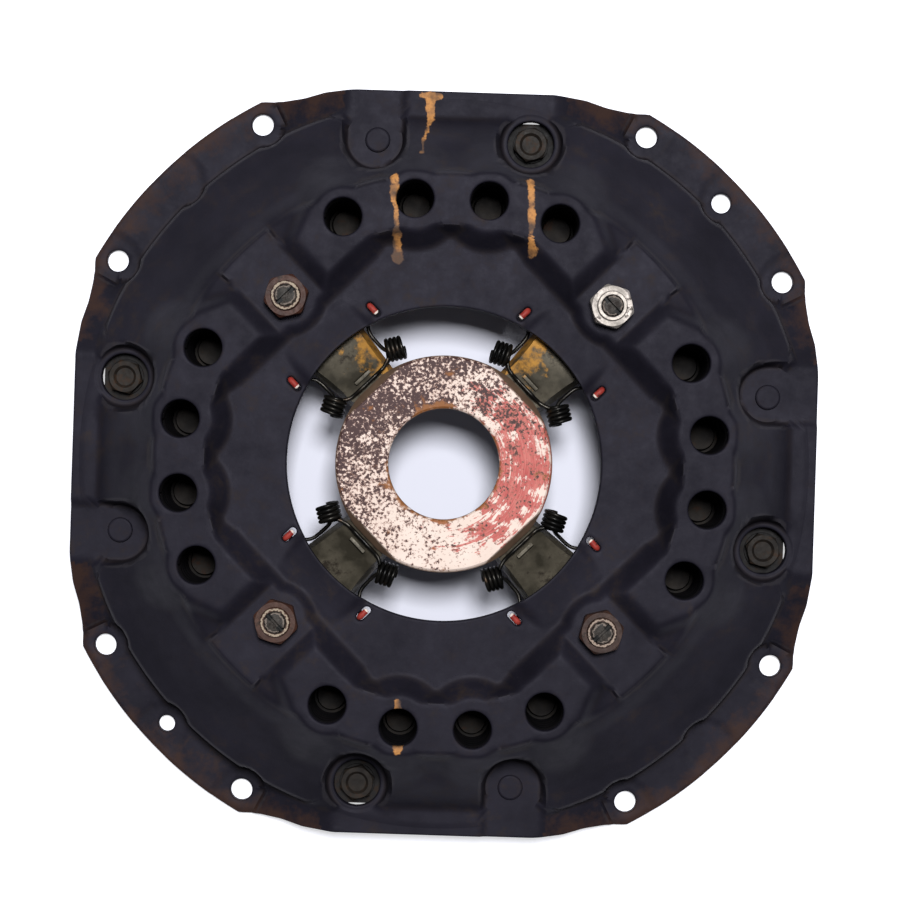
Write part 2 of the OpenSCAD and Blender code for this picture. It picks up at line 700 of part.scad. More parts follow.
module strap_bolts() {
    h = 5.8;
    color("#8c8070") for (k = [1:4]) at_side(k) rotate([0, 0, -strap_deg])
        translate([strap_r, 0, strap_top_z + strap_washer_t]) {
            difference() {
                intersection() {
                    cylinder(d = strap_bolt_af / cos(30), h = h, $fn = 6);
                    cylinder(d1 = strap_bolt_af + 12, d2 = strap_bolt_af, h = h);
                }
                translate([0, 0, h - 1.6]) cylinder(r1 = 4.4, r2 = 6, h = 2);
            }
            translate([0, 0, friction_z + 3 - strap_top_z - strap_washer_t])
                cylinder(r = strap_bolt_shank_r, h = strap_top_z + strap_washer_t - friction_z - 2.9);
        }
}

// Height of the wire centre along a thrust spring: closed flat turns at both ends
function spring_height(f, low, high) =
    let (dead = 0.75 / spring_turns, u = (f - dead) / (1 - 2 * dead), t = spring_wire_d * 0.55)
    f < dead ? low + t * f / dead
    : f > 1 - dead ? high - t * (1 - f) / dead
    : low + t + (high - low - 2 * t) * u;

module thrust_spring(i) {
    side = floor((i - 1) / 4);
    a = 90 * side + spring_degs[(i - 1) % 4];
    seg = 9;
    n = round(spring_turns * seg);
    low = spring_seat_z + spring_wire_d / 2;
    high = plateau_z - sheet_t - spring_wire_d / 2;
    r = (spring_od - spring_wire_d) / 2;
    color("#33343a") translate([spring_circle_r * cos(a), spring_circle_r * sin(a), 0])
        wire([for (j = [0:n]) let (t = 360 * spring_turns * j / n)
            [r * cos(t), r * sin(t), spring_height(j / n, low, high)]], spring_wire_d / 2, 6);
}

cover();
pressure_plate();
release_plate();
release_lever(1);  // release_lever_1
release_lever(2);  // release_lever_2
release_lever(3);  // release_lever_3
release_lever(4);  // release_lever_4
lever_pin(1);  // lever_pin_1
lever_pin(2);  // lever_pin_2
lever_pin(3);  // lever_pin_3
lever_pin(4);  // lever_pin_4
eyebolt(1);  // eyebolt_1
eyebolt(2);  // eyebolt_2
eyebolt(3);  // eyebolt_3
eyebolt(4);  // eyebolt_4
adjusting_nut(1);  // adjusting_nut_1
adjusting_nut(2);  // adjusting_nut_2
adjusting_nut(3);  // adjusting_nut_3
adjusting_nut(4);  // adjusting_nut_4
strut(1);  // strut_1
strut(2);  // strut_2
strut(3);  // strut_3
strut(4);  // strut_4
retaining_spring(1);  // retaining_spring_1
retaining_spring(2);  // retaining_spring_2
retaining_spring(3);  // retaining_spring_3
retaining_spring(4);  // retaining_spring_4
drive_straps(1);  // drive_straps_1
drive_straps(2);  // drive_straps_2
drive_straps(3);  // drive_straps_3
drive_straps(4);  // drive_straps_4
strap_rivets();
strap_bolts();
strap_washers();
thrust_spring(1);  // thrust_spring_01
thrust_spring(2);  // thrust_spring_02
thrust_spring(3);  // thrust_spring_03
thrust_spring(4);  // thrust_spring_04
thrust_spring(5);  // thrust_spring_05
thrust_spring(6);  // thrust_spring_06
thrust_spring(7);  // thrust_spring_07
thrust_spring(8);  // thrust_spring_08
thrust_spring(9);  // thrust_spring_09
thrust_spring(10);  // thrust_spring_10
thrust_spring(11);  // thrust_spring_11
thrust_spring(12);  // thrust_spring_12
thrust_spring(13);  // thrust_spring_13
thrust_spring(14);  // thrust_spring_14
thrust_spring(15);  // thrust_spring_15
thrust_spring(16);  // thrust_spring_16
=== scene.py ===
# Clutch pressure plate assembly, seen from the gearbox side.
import bmesh
import bpy
import math
import numpy as np
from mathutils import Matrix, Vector


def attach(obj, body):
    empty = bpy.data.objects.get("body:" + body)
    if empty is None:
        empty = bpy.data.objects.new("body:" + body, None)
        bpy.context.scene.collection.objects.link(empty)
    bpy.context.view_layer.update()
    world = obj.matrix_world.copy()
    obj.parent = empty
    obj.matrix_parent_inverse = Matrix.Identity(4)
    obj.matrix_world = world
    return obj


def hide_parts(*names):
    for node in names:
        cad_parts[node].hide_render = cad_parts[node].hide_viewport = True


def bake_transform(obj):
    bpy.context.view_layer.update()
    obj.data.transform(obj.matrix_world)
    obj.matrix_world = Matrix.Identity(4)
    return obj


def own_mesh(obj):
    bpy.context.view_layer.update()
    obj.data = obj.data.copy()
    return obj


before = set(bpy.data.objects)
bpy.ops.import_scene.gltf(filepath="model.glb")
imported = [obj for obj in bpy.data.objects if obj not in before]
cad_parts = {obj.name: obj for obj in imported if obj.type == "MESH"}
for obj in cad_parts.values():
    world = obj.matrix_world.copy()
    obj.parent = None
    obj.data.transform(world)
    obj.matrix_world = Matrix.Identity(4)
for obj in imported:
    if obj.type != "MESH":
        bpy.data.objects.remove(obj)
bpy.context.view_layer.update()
mm = 0.001


# The cover: one pressed steel sheet, 5 mm thick, with sixteen spring bosses, four lever channels
# with nut lands, four side lands and a flat flange. It is a polar grid lifted to a height formula,
# with the cells round each hole replaced by rings that run down its bore. Satin black paint.
sheet, plateau, ring_top, nut_top, land_top = 5.0, 67.0, 56.0, 61.0, 27.0
opening_r, rim_circle, bolt_circle, dowel_circle = 77.3, 207.5, 196.85, 194.85
spring_circle, spring_degrees, spring_hole = 130.0, (-24, -8, 8, 24), 9.25
boss_circle, boss_r, boss_slope = 129.2, 15.0, 0.75
fulcrum_r, nut_land_half, nut_wall_slope, nut_boss_slope = 112.0, 14.7, 1.17, 0.93
block_edge, block_slope, block_half, block_outer = 106.0, 0.86, 46.0, 126.0
corner_x, corner_y, corner_turn = 130.5, 24.0, math.radians(22.2)
land_half, land_foot, land_back = 50.0, 93.0, 173.5
access_x, access_y, access_r = 161.87, -38.56, 15.0
pad_x, pad_y, pad_r, pad_step = 161.53, 39.97, 14.7, 2.0
strap_circle, strap_degrees, slot_circle, slot_degrees = 166.4, 13.4, 83.36, 18.61

# The dome's turned section as (radius, height) from the rim inwards, and half of a side's cut edge
# as (distance out, distance along).
dome_line = np.array([(190.0, -16.0), (187.0, 5.0), (184.0, 26.0), (172.0, 34.4), (153.0, 49.5),
                      (146.0, 57.2), (144.4, plateau - 9), (141.1, plateau + 2), (117.4, plateau + 2),
                      (111.8, ring_top), (60.0, ring_top)])
side_edge = np.array([(187.2, 0), (187.2, 50), (186, 66), (183.4, 77), (182.2, 88), (182.2, 99.29)])


def soft_max(a, b, width):
    """The larger of a and b, joined by a cubic fillet where they differ by less than width."""
    return np.maximum(a, b) + width * (np.maximum(width - np.abs(a - b), 0) / width) ** 3 / 6


def soft_min(a, b, width):
    """The smaller of a and b, joined by a cubic fillet where they differ by less than width."""
    return -soft_max(-a, -b, width)


def hinge(d, width):
    """Zero below 0 and d above it, with a rounded bend of that width."""
    return soft_max(d, 0 * d, width)


def inset_line(line, inset):
    """The section line moved inset mm to its left, keeping every corner on its mitre."""
    step = np.diff(line, axis=0)
    out = np.stack([-step[:, 1], step[:, 0]], 1) / np.linalg.norm(step, axis=1)[:, None]
    first, last = np.vstack([out[:1], out]), np.vstack([out, out[-1:]])
    return line + inset * (first + last) / (1 + (first * last).sum(1))[:, None]


def outline_r(theta):
    """Radius of the cover's rim at theta: the flange circle, cut off by the edge of the nearest side."""
    t = np.abs((theta + math.pi / 4) % (math.pi / 2) - math.pi / 4)
    bend = np.arctan2(side_edge[:, 1], side_edge[:, 0])
    i = np.clip(np.searchsorted(bend, t) - 1, 0, len(side_edge) - 2)
    p, d = side_edge[i], side_edge[i + 1] - side_edge[i]
    cut = (p[..., 0] * d[..., 1] - p[..., 1] * d[..., 0]) / (np.cos(t) * d[..., 1] - np.sin(t) * d[..., 0])
    return np.where(t < bend[-1], np.minimum(cut, rim_circle), rim_circle)


def cover_height(x, y, inset=0.0):
    """Height of the cover's face over (x, y) in mm: the dome's turned section joined with the bosses,
    blocks and lands by soft_max, and cut down by the channels, notches and pockets by soft_min."""
    r, theta = np.hypot(x, y), np.arctan2(y, x)
    side = (theta + math.pi / 4) % (math.pi / 2) - math.pi / 4
    diag = theta % (math.pi / 2) - math.pi / 4
    xs, ys, xd, yd = r * np.cos(side), r * np.sin(side), r * np.cos(diag), np.abs(r * np.sin(diag))
    line = inset_line(dome_line, inset)[::-1]
    form = sum(np.interp(r + s, line[:, 0], line[:, 1]) for s in (-0.9, -0.45, 0, 0.45, 0.9)) / 5
    top = plateau - inset
    for a in (8, 24):
        boss_x, boss_y = boss_circle * math.cos(math.radians(a)), boss_circle * math.sin(math.radians(a))
        d = np.hypot(xs - boss_x, np.abs(ys) - boss_y)
        form = soft_max(form, top - (d - boss_r + 0.16 * inset) / boss_slope, 2)
    block = top - (block_edge + 0.7 * inset - xd) / block_slope - 2.5 * np.maximum(yd - block_half, 0)
    form = soft_max(form, np.minimum(block, top + 4 * (block_outer - xd)), 2)
    form = soft_min(form, top, 2)
    nut_wall = hinge(yd - nut_land_half - 0.75 * inset, 0.5) / nut_wall_slope
    form = soft_min(form, nut_top - inset + nut_wall, 3)
    cos_turn, sin_turn = math.cos(corner_turn), math.sin(corner_turn)
    u = (xd - corner_x) * cos_turn - (yd - corner_y) * sin_turn + 0.75 * inset
    v = (xd - corner_x) * sin_turn + (yd - corner_y) * cos_turn
    corner = soft_max(top - 1.39 * u, top - 4.8 - 0.3 * u, 3)
    corner += 1.4 * (np.maximum(-10 - v, 0) + np.maximum(v - 34, 0))
    corner += 6 * np.maximum(16.2 + 0.75 * inset - yd, 0)
    form = soft_min(form, corner, 5)
    nut_edge = hinge(np.hypot(xd - fulcrum_r, yd) - nut_land_half + 0.3 * inset, 1.5) / nut_boss_slope
    form = soft_max(form, nut_top - 0.3 - inset - nut_edge, 1)
    ramp = np.interp(xd, (60, 76, 93, 200), (61.4, 59.2, 55.8, -60)) - inset
    form = soft_max(form, ramp - 1.2 * hinge(yd - 20 + 0.5 * inset, 5), 2.5)
    flat, foot = land_half - 0.4 * inset, land_foot - 1.4 * inset
    land = land_top - inset - hinge(np.abs(ys) - flat, 4) * (22 + inset) / (foot - flat)
    form = soft_max(form, land, 2)
    back = land_top - inset + hinge(land_back - 0.8 * inset - xs, 2) * 1.277
    form = soft_min(form, back + 4 * np.maximum(np.abs(ys) - 48, 0), 2)
    d = np.hypot(xs - access_x, ys - access_y) - access_r - 0.75 * inset
    form = soft_min(form, land_top - 0.3 - inset + 8 * hinge(d, 1), 1.5)
    d = np.hypot(np.minimum(xs - pad_x, 0), ys - pad_y) - pad_r - 0.75 * inset
    t = np.clip((d + 1.5) / 4, 0, 1)
    step = pad_step * t ** 2 * (3 - 2 * t)
    wall = np.clip(8 - 0.6 * (xs - pad_x), 2, 8)
    form = soft_min(form, land_top - pad_step - inset + step + wall * hinge(d + 0.3, 0.8), 1)
    form = soft_max(form, sheet - inset + 0 * form, 5 if inset == 0 else 2)
    if inset == 0:
        for a, flat_r in ((30, 11.8), (45, 12.2)):
            t = np.abs(side) - math.radians(a) if a == 30 else diag
            d = np.hypot(np.minimum(r * np.cos(t) - bolt_circle, 0), r * np.sin(t)) - flat_r
            form = soft_min(form, 4.4 + 7 * hinge(d, 0.6), 0.8)
    return form


# The grid's ring radii on a plain side. Near the foot of the dome they follow its wavy corner, and
# beyond it they spread out to the rim.
columns, outer_ring, foot_ring, rim_edge = 640, 206.9, 188.0, 0.6
bare = np.concatenate([[78.0, 78.6], np.linspace(79.9, 180, 72), np.linspace(181, 183, 3),
                       np.linspace(183.6, foot_ring, 11), np.linspace(189.4, outer_ring, 13)])
rows = len(bare)
theta = np.arange(columns) * 2 * math.pi / columns
off_middle = np.abs(np.degrees((theta + math.pi / 4) % (math.pi / 2)) - 45)
foot_r = foot_ring - 4.5 * (1 - np.clip((off_middle - 14.3) / 2.7, 0, 1))
rim_r = outline_r(theta)
ring_r = bare[:, None]
inner_part = np.where(ring_r > 180, 180 + (ring_r - 180) * (foot_r - 180) / 8, ring_r)
outer_part = foot_r + (rim_r - rim_edge - foot_r) * (ring_r - foot_ring) / (outer_ring - foot_ring)
grid_r = np.where(ring_r > foot_ring, outer_part, inner_part)
grid_x, grid_y = grid_r * np.cos(theta), grid_r * np.sin(theta)

# Each hole: its circle's radius, its direction in degrees, its own radius, half the straight length
# of a slot, the margin that its window needs, and the radii and numbers of its upper rings.
holes = []
for k in range(4):
    middle = 90 * k
    holes += [(spring_circle, middle + a, spring_hole, 0, 3.6, [(9.95, 5)]) for a in spring_degrees]
    holes += [(strap_circle, middle - strap_degrees, 11.65, 0, 8, [(15.9, 3), (14.8, 3), (12.35, 3)]),
              (strap_circle, middle + strap_degrees, 4.54, 0, 14.6, [(15.9, 3), (13.9, 4), (5.24, 6)])]
    holes += [(bolt_circle, middle + a, 5.5, 0, 2.4, [(6.2, 2)]) for a in (-30, 30)]
    holes += [(fulcrum_r, middle + 45, 5.66, 0, 2.4, [(6.36, 2)])]
    holes += [(slot_circle, middle + 45 + a, 1.9, 2.3, 2.2, [(2.6, 2)]) for a in (-slot_degrees, slot_degrees)]
holes += [(dowel_circle, 45, 5, 0, 2.4, [(5.7, 2)]), (dowel_circle, 225, 4.15, 0, 2.4, [(4.85, 2)])]

points, quads, tris = [], [], []
count = 0


def add(x, y, z):
    """Adds the points and returns their numbers."""
    global count
    points.append(np.stack([x.ravel(), y.ravel(), z.ravel()], 1))
    count += x.size
    return np.arange(count - x.size, count).reshape(x.shape)


def band(a, b):
    """Quads between the closed loops a and b, which have the same number of points."""
    quads.append(np.stack([a, np.roll(a, -1), np.roll(b, -1), b], 1))


def fan_band(a, b):
    """Triangles between the closed loop a and the loop b, which has half as many points."""
    mid, end, after = a[1::2], np.roll(a[::2], -1), np.roll(b, -1)
    tris.extend([np.stack([a[::2], mid, b], 1), np.stack([mid, after, b], 1), np.stack([mid, end, after], 1)])


top_grid = add(grid_x, grid_y, cover_height(grid_x, grid_y))
low_x, low_y = grid_x[::2, ::2], grid_y[::2, ::2]
low_grid = add(low_x, low_y, cover_height(low_x, low_y, sheet))
top_keep, low_keep = np.ones((rows - 1, columns), bool), np.ones((rows // 2, columns // 2), bool)
top_faces = np.stack([top_grid[:-1], top_grid[1:], np.roll(top_grid[1:], -1, 1),
                      np.roll(top_grid[:-1], -1, 1)], -1)
low_faces = np.stack([low_grid[:-1], np.roll(low_grid[:-1], -1, 1), np.roll(low_grid[1:], -1, 1),
                      low_grid[1:]], -1)


def window_loop(grid, row, row_end, column, column_end):
    """The grid's points round the window, counterclockwise from above."""
    up, on = np.arange(row, row_end), np.arange(column, column_end)
    down, back = up[::-1] + 1, on[::-1] + 1
    j = np.concatenate([up, np.full(len(on), row_end), down, np.full(len(on), row)])
    c = np.concatenate([np.full(len(up), column), on, np.full(len(up), column_end), back])
    return grid[j, c % grid.shape[1]]


def edge_points(loop, centre, turn, radius, half):
    """Points of a slot's or a hole's edge, one in the direction of each point of the loop: a slot has
    straight sides 2 half long between round ends of that radius."""
    at = np.concatenate(points)[loop, :2] - centre
    at /= np.linalg.norm(at, axis=1)[:, None]
    dx, dy = np.abs(at @ [math.cos(turn), math.sin(turn)]), np.abs(at @ [-math.sin(turn), math.cos(turn)])
    flat = radius / np.maximum(dy, 1e-9)
    end = half * dx + np.sqrt(np.maximum((half * dx) ** 2 - half ** 2 + radius ** 2, 0))
    return centre + at * np.where(flat * dx <= half, flat, end)[:, None]


def bore(top_loop, low_loop, centre, turn, radius, half, steps):
    """Rings from both loops to the hole, the rounded upper edge and the bore between them. steps
    says which radii the upper rings reach, and in how many rings each."""
    start = np.concatenate(points)[top_loop, :2]
    last = top_loop
    for goal, parts in steps:
        stop = edge_points(top_loop, centre, turn, goal, half)
        for i in range(1, parts + 1):
            p = start + (stop - start) * i / parts
            ring = add(p[:, 0], p[:, 1], cover_height(p[:, 0], p[:, 1]))
            band(last, ring)
            last = ring
        start = stop
    for out, drop in ((0.2, 0.2), (0, 0.7)):
        p = edge_points(top_loop, centre, turn, radius + out, half)
        ring = add(p[:, 0], p[:, 1], cover_height(p[:, 0], p[:, 1]) - drop)
        band(last, ring)
        last = ring
    start = np.concatenate(points)[low_loop, :2]
    stop = edge_points(low_loop, centre, turn, radius, half)
    low_last = low_loop
    low_steps = sum(parts for goal, parts in steps) // 2 + 1
    for i in range(1, low_steps + 1):
        p = start + (stop - start) * i / low_steps
        ring = add(p[:, 0], p[:, 1], cover_height(p[:, 0], p[:, 1], sheet))
        band(ring, low_last)
        low_last = ring
    fan_band(last, low_last)


slot_inward, slot_wider = 1.15, 0.9
for radius, degrees, hole_r, half, margin, steps in holes:
    a = math.radians(degrees)
    reach = hole_r + half + margin
    wide = hole_r + margin + (slot_wider if half else 0)
    row = int(np.searchsorted(bare, radius - reach + (slot_inward if half else 0))) // 2 * 2
    row_end = (int(np.searchsorted(bare, radius + reach)) + 1) // 2 * 2
    column = int((a - wide / radius) / (2 * math.pi) * columns) // 2 * 2
    column_end = (int((a + wide / radius) / (2 * math.pi) * columns) + 2) // 2 * 2
    low_window = (row // 2, row_end // 2, column // 2, column_end // 2)
    top_keep[row:row_end, np.arange(column, column_end) % columns] = False
    low_keep[row // 2:row_end // 2, np.arange(column // 2, column_end // 2) % (columns // 2)] = False
    turn = math.radians(round((degrees - 45) / 90) * 90 + 45)
    bore(window_loop(top_grid, row, row_end, column, column_end), window_loop(low_grid, *low_window),
         np.array([radius * math.cos(a), radius * math.sin(a)]), turn, hole_r, half, steps)
quads.extend([top_faces[top_keep], low_faces[low_keep]])
bore(top_grid[0], low_grid[0], np.zeros(2), 0, opening_r, 0, [])

last = top_grid[-1]
for out, drop in ((0.4, 0.2), (rim_edge, 0.6)):
    r = rim_r - rim_edge + out
    x, y = r * np.cos(theta), r * np.sin(theta)
    ring = add(x, y, cover_height(grid_x[-1], grid_y[-1]) - drop)
    band(ring, last)
    last = ring
x, y = (rim_r * np.cos(theta))[::2], (rim_r * np.sin(theta))[::2]
low_rim = add(x, y, cover_height(low_x[-1], low_y[-1], sheet))
band(low_grid[-1], low_rim)
fan_band(np.roll(last[::-1], 1), np.roll(low_rim[::-1], 1))

verts = np.concatenate(points)
used, flat_index = np.unique(np.concatenate([q.ravel() for q in quads + tris]), return_inverse=True)
verts = verts[used]
n_quads = sum(len(q) for q in quads)
faces = flat_index[:4 * n_quads].reshape(-1, 4).tolist() + flat_index[4 * n_quads:].reshape(-1, 3).tolist()
cover_mesh = bpy.data.meshes.new("cover_sheet")
cover_mesh.from_pydata((verts * mm).tolist(), [], faces)
cover_mesh.shade_smooth()
cover_mesh.set_sharp_from_angle(angle=math.radians(50))
cover_sheet = bpy.data.objects.new("cover_sheet", cover_mesh)
bpy.context.collection.objects.link(cover_sheet)
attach(cover_sheet, "cover_group")
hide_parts("cover")

# Wear of the cover, as values at its points: how convex the face is, how near the rim lies, and
# the distance to the dried drips of rusty water. Each drip has two ends and a half width.
x, y, z = verts.T
around = sum(cover_height(x + dx, y + dy) for dx, dy in ((1.8, 0), (-1.8, 0), (0, 1.8), (0, -1.8))) / 4
facing = np.where(np.abs(z - cover_height(x, y)) < 1, cover_height(x, y) - around, 0)
rim_near = np.clip(1 - (outline_r(np.arctan2(y, x)) - np.hypot(x, y)) / 22, 0, 1) * (z < 24)
stain = np.zeros(len(verts))
drips = [(-28.3, 138, -27.6, 128, 2.9), (-27.6, 128, -26.4, 112, 1.7), (-26.4, 112, -26, 101, 2.5),
         (-26.2, 101.5, -26.2, 100.5, 3.2), (38.2, 139, 38.8, 122, 2.3), (38.8, 122, 39.6, 104, 2.0),
         (39.6, 105, 39.6, 104, 2.9), (-17, 185, -8, 184.5, 1.9), (-12.6, 185, -12.2, 172, 2.4),
         (-12.2, 172, -15.4, 160, 1.4), (-15.4, 160, -15.8, 152, 1.0), (-18.5, -116.5, -18.3, -121, 2.0),
         (-18.4, -138.5, -18.2, -139.5, 3.2)]
for x0, y0, x1, y1, wide in drips:
    t = np.clip(((x - x0) * (x1 - x0) + (y - y0) * (y1 - y0)) / ((x1 - x0) ** 2 + (y1 - y0) ** 2), 0, 1)
    near = np.hypot(x - x0 - t * (x1 - x0), y - y0 - t * (y1 - y0)) / wide
    stain = np.maximum(stain, np.clip(1.5 - near, 0, 1))
for name, value in (("facing", facing), ("rim", rim_near), ("stain", stain)):
    cover_mesh.attributes.new(name, "FLOAT", "POINT").data.foreach_set("value", value.astype(np.float32))


# Paint of the cover: satin charcoal black, brown rust creeping in from the rim and gathered in the
# creases, paler worn edges, fine dust, and orange drips.
def feed(tree, socket, value):
    """Links the value to the socket if it is a node's output, and else sets it as the default."""
    if isinstance(value, bpy.types.NodeSocket):
        tree.links.new(value, socket)
    else:
        socket.default_value = (*value, 1) if socket.type == "RGBA" else value


def make_node(tree, kind, **inputs):
    """A new node with the given input values; underscores in the names stand for spaces."""
    made = tree.nodes.new(kind)
    for name, value in inputs.items():
        feed(tree, made.inputs[name.replace("_", " ")], value)
    return made


def noise(tree, coords, scale, detail, roughness=0.5):
    """A noise from 0 to 1 over the coordinates."""
    return make_node(tree, "ShaderNodeTexNoise", Vector=coords, Scale=scale, Detail=detail,
                     Roughness=roughness).outputs[0]


def ramp_node(tree, value, *stops):
    """A colour ramp on value, with stops of (position, grey)."""
    made = make_node(tree, "ShaderNodeValToRGB", Fac=value)
    for element, (position, grey) in zip(made.color_ramp.elements, stops):
        element.position = position
        element.color = (grey, grey, grey, 1)
    return made.outputs["Color"]


def mix_colour(tree, factor, a, b):
    """The colours a and b mixed by factor."""
    made = tree.nodes.new("ShaderNodeMix")
    made.data_type = "RGBA"
    for socket, value in ((made.inputs[0], factor), (made.inputs[6], a), (made.inputs[7], b)):
        feed(tree, socket, value)
    return made.outputs[2]


def math_node(tree, operation, a, b=0.0):
    """The result of a math node."""
    made = tree.nodes.new("ShaderNodeMath")
    made.operation = operation
    feed(tree, made.inputs[0], a)
    feed(tree, made.inputs[1], b)
    return made.outputs[0]


def plus(tree, a, b):
    """a + b"""
    return math_node(tree, "ADD", a, b)


def times(tree, a, b):
    """a * b"""
    return math_node(tree, "MULTIPLY", a, b)


paint = bpy.data.materials.new("cover_paint")
paint.use_nodes = True
tree = paint.node_tree
coords = tree.nodes.new("ShaderNodeTexCoord").outputs["Object"]
broad = noise(tree, coords, 22.0, 8.0, 0.68)
middle = noise(tree, coords, 120.0, 8.0, 0.68)
grain = noise(tree, coords, 900.0, 4.0, 0.7)
wear = {}
for name in ("facing", "rim", "stain"):
    attribute = tree.nodes.new("ShaderNodeAttribute")
    attribute.attribute_name = name
    wear[name] = attribute.outputs["Fac"]

charcoal_dark, charcoal_pale = (0.0058, 0.0052, 0.0085), (0.0115, 0.0105, 0.0165)
colour = mix_colour(tree, ramp_node(tree, broad, (0.35, 0.0), (0.65, 1.0)), charcoal_dark, charcoal_pale)
dust_grey = (0.028, 0.025, 0.025)
colour = mix_colour(tree, ramp_node(tree, grain, (0.6, 0.0), (0.8, 0.5)), colour, dust_grey)
brown_film = (0.026, 0.018, 0.013)
film = times(tree, ramp_node(tree, middle, (0.5, 0.0), (0.7, 1.0)),
             ramp_node(tree, broad, (0.47, 0.0), (0.62, 0.75)))
colour = mix_colour(tree, film, colour, brown_film)
rim_rust = (0.036, 0.018, 0.012)
rust_field = plus(tree, times(tree, wear["rim"], 0.3),
                  plus(tree, times(tree, middle, 0.5), times(tree, broad, 0.6)))
colour = mix_colour(tree, ramp_node(tree, rust_field, (0.7, 0.0), (0.86, 0.8)), colour, rim_rust)
crease_dirt = (0.02, 0.015, 0.012)
crease = ramp_node(tree, times(tree, wear["facing"], -1.6), (0.1, 0.0), (0.8, 0.6))
colour = mix_colour(tree, times(tree, crease, middle), colour, crease_dirt)
worn_grey = (0.034, 0.031, 0.034)
edge = plus(tree, times(tree, wear["facing"], 0.6), times(tree, middle, 0.7))
colour = mix_colour(tree, ramp_node(tree, edge, (0.66, 0.0), (1.0, 0.4)), colour, worn_grey)
drip_dark, drip_orange, drip_brown = (0.09, 0.055, 0.035), (0.5, 0.23, 0.07), (0.14, 0.06, 0.03)
wet = plus(tree, wear["stain"], times(tree, math_node(tree, "SUBTRACT", middle, 0.5), 2.2))
blotch = noise(tree, coords, 85.0, 3.0)
orange = mix_colour(tree, ramp_node(tree, blotch, (0.4, 0.0), (0.55, 1.0)), drip_dark, drip_orange)
orange = mix_colour(tree, ramp_node(tree, grain, (0.5, 0.0), (0.7, 0.7)), orange, drip_brown)
colour = mix_colour(tree, ramp_node(tree, wet, (0.62, 0.0), (0.86, 0.9)), colour, orange)

shader = tree.nodes["Principled BSDF"]
tree.links.new(colour, shader.inputs["Base Color"])
tree.links.new(ramp_node(tree, middle, (0.35, 0.54), (0.75, 0.68)), shader.inputs["Roughness"])
shader.inputs["Specular IOR Level"].default_value = 0.13
shader.inputs["Specular Tint"].default_value = (0.86, 0.84, 1.0, 1.0)
relief = plus(tree, times(tree, grain, 0.25), middle)
bump = make_node(tree, "ShaderNodeBump", Height=relief, Strength=0.16, Distance=0.0006)
tree.links.new(bump.outputs[0], shader.inputs["Normal"])
cover_mesh.materials.append(paint)


# The pressure plate, pins and struts: the CAD meshes themselves, in dark cast iron and steel with
# a brown film; the plate's iron is darkened further as painted shade, so that the holes look black.
# Hardly more than slivers of them show through the cover's holes.
worn_surface = bpy.data.node_groups.new("worn_surface", "ShaderNodeTree")
for name in ("Low", "High", "Spot"):
    worn_surface.interface.new_socket(name, in_out="INPUT", socket_type="NodeSocketColor")
for name in ("Spot Share", "Scale", "Roughness"):
    worn_surface.interface.new_socket(name, in_out="INPUT", socket_type="NodeSocketFloat")
worn_surface.interface.new_socket("Color", in_out="OUTPUT", socket_type="NodeSocketColor")
for name in ("Roughness", "Grain"):
    worn_surface.interface.new_socket(name, in_out="OUTPUT", socket_type="NodeSocketFloat")
given = worn_surface.nodes.new("NodeGroupInput").outputs
coords = worn_surface.nodes.new("ShaderNodeTexCoord").outputs["Object"]
broad = noise(worn_surface, coords, math_node(worn_surface, "DIVIDE", given["Scale"], 3.0), 5.0)
fine = noise(worn_surface, coords, given["Scale"], 8.0, 0.7)
tone = mix_colour(worn_surface, ramp_node(worn_surface, broad, (0.38, 0.0), (0.62, 1.0)),
                  given["Low"], given["High"])
blend = times(worn_surface, plus(worn_surface, broad, fine), 0.5)
start = math_node(worn_surface, "SUBTRACT", 0.62, times(worn_surface, given["Spot Share"], 0.3))
spots = make_node(worn_surface, "ShaderNodeMapRange", Value=blend, From_Min=start,
                  From_Max=plus(worn_surface, start, 0.08)).outputs[0]
uneven = make_node(worn_surface, "ShaderNodeMapRange", Value=fine, From_Min=0.3, From_Max=0.7,
                   To_Min=-0.08, To_Max=0.15).outputs[0]
make_node(worn_surface, "NodeGroupOutput", Color=mix_colour(worn_surface, spots, tone, given["Spot"]),
          Grain=fine, Roughness=plus(worn_surface, given["Roughness"], uneven))


def worn(name, low, high, spot, share, metal=0.0, rough=0.5, scale=260.0, shine=0.2):
    """A material with the worn surface: two tones mixed by a broad noise, spots of a third colour
    where a finer noise passes a threshold, and the finer noise as its grain."""
    material = bpy.data.materials.new(name)
    material.use_nodes = True
    tree = material.node_tree
    surface = tree.nodes.new("ShaderNodeGroup")
    surface.node_tree = worn_surface
    for socket, value in (("Low", (*low, 1)), ("High", (*high, 1)), ("Spot", (*spot, 1)),
                          ("Spot Share", share), ("Scale", scale), ("Roughness", rough)):
        surface.inputs[socket].default_value = value
    shader = tree.nodes["Principled BSDF"]
    tree.links.new(surface.outputs["Color"], shader.inputs["Base Color"])
    tree.links.new(surface.outputs["Roughness"], shader.inputs["Roughness"])
    shader.inputs["Metallic"].default_value = metal
    shader.inputs["Specular IOR Level"].default_value = shine
    bump = make_node(tree, "ShaderNodeBump", Height=surface.outputs["Grain"], Strength=0.2, Distance=0.0004)
    tree.links.new(bump.outputs[0], shader.inputs["Normal"])
    return material


# The plate's iron: dark cast iron, darkened further as painted shade inside the cover's holes.
cast_iron_with_painted_shade = worn("cast_iron_with_painted_shade", (0.009, 0.008, 0.008), (0.018, 0.015, 0.013), (0.03, 0.015, 0.01), 0.2,
                 rough=0.7, shine=0.1)
pin_steel = worn("pin_steel", (0.12, 0.11, 0.1), (0.2, 0.19, 0.17), (0.09, 0.05, 0.03), 0.2,
                 metal=0.9, rough=0.35)
for name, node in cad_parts.items():
    if name == "pressure_plate" or name.startswith(("strut", "lever_pin")):
        node.data.materials.clear()
        node.data.materials.append(cast_iron_with_painted_shade if name == "pressure_plate" else pin_steel)
